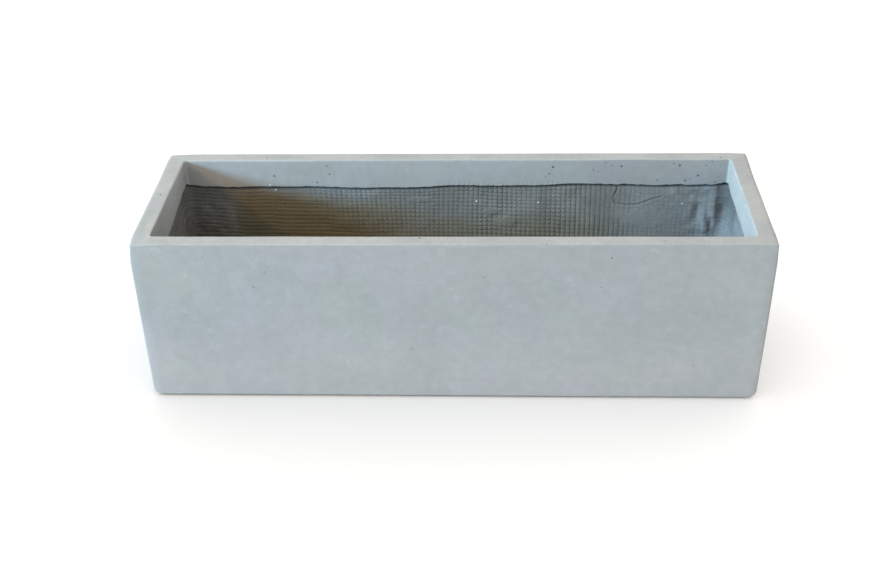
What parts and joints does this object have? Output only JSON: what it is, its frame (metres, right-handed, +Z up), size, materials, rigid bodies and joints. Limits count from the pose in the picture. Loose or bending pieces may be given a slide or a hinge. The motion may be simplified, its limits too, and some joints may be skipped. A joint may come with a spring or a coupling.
{
  "type": "self-watering trough planter",
  "caption": "Long rectangular fibre-cement trough with a thick flat rim, and a hidden water reservoir, wicking separator, fill tube and float gauge low down inside.",
  "frame": {"origin": "on the ground, under the middle of the trough", "axes": "+X along the trough, to the right as seen from the front; -Y towards the front face; +Z up"},
  "size_m": [0.6, 0.185, 0.177],
  "materials": {
    "cement": "matte",
    "foot_rubber": "matte",
    "seal_rubber": "satin",
    "tray_plastic": "matte",
    "plate_plastic": "matte",
    "cup_plastic": "matte",
    "leg_plastic": "matte",
    "tube_plastic": "satin",
    "cap_plastic": "satin",
    "fitting_plastic": "satin",
    "pin_steel": "satin",
    "window_clear": "gloss",
    "float_foam": "matte",
    "float_rod": "satin",
    "marker_red": "gloss"
  },
  "bodies": {
    "trough": {"planter_shell": "cement", "front_left_foot": "foot_rubber", "front_right_foot": "foot_rubber", "back_left_foot": "foot_rubber", "back_right_foot": "foot_rubber", "reservoir_tray": "tray_plastic", "drain_gasket": "seal_rubber", "drain_fitting": "fitting_plastic", "drain_locknut": "fitting_plastic"},
    "separator": {"separator_plate": "plate_plastic", "wick_cup_1": "cup_plastic", "wick_cup_2": "cup_plastic", "wick_cup_3": "cup_plastic", "wick_cup_4": "cup_plastic", "support_leg_1": "leg_plastic", "support_leg_2": "leg_plastic", "support_leg_3": "leg_plastic", "support_leg_4": "leg_plastic", "support_leg_5": "leg_plastic", "support_leg_6": "leg_plastic", "support_leg_7": "leg_plastic", "support_leg_8": "leg_plastic", "support_leg_9": "leg_plastic", "support_leg_10": "leg_plastic", "fill_tube": "tube_plastic", "filler_head": "tube_plastic", "cap_hinge_pin": "pin_steel", "gauge_tube": "tube_plastic", "rod_guide": "tube_plastic", "gauge_collar": "cap_plastic", "gauge_window": "window_clear"},
    "riser": {"overflow_riser": "fitting_plastic", "riser_o_ring": "seal_rubber", "riser_strainer": "fitting_plastic"},
    "cap": {"filler_cap": "cap_plastic", "cap_gasket": "seal_rubber"},
    "float": {"gauge_float": "float_foam", "gauge_rod": "float_rod", "gauge_marker": "marker_red"}
  },
  "joints": [
    {"name": "separator_lift", "type": "slide", "parent": "trough", "child": "separator", "axis": [0, 0, 1], "range_m": [0, 0.165]},
    {"name": "riser_pull", "type": "slide", "parent": "trough", "child": "riser", "axis": [0, 0, 1], "range_m": [0, 0.014]},
    {"name": "cap_hinge", "type": "hinge", "parent": "separator", "child": "cap", "pos_m": [0.2582, -0.051, 0.1482], "axis": [0, 1, 0], "range_deg": [0, 110]},
    {"name": "float_rise", "type": "slide", "parent": "separator", "child": "float", "axis": [0, 0, 1], "range_m": [0, 0.026]}
  ]
}
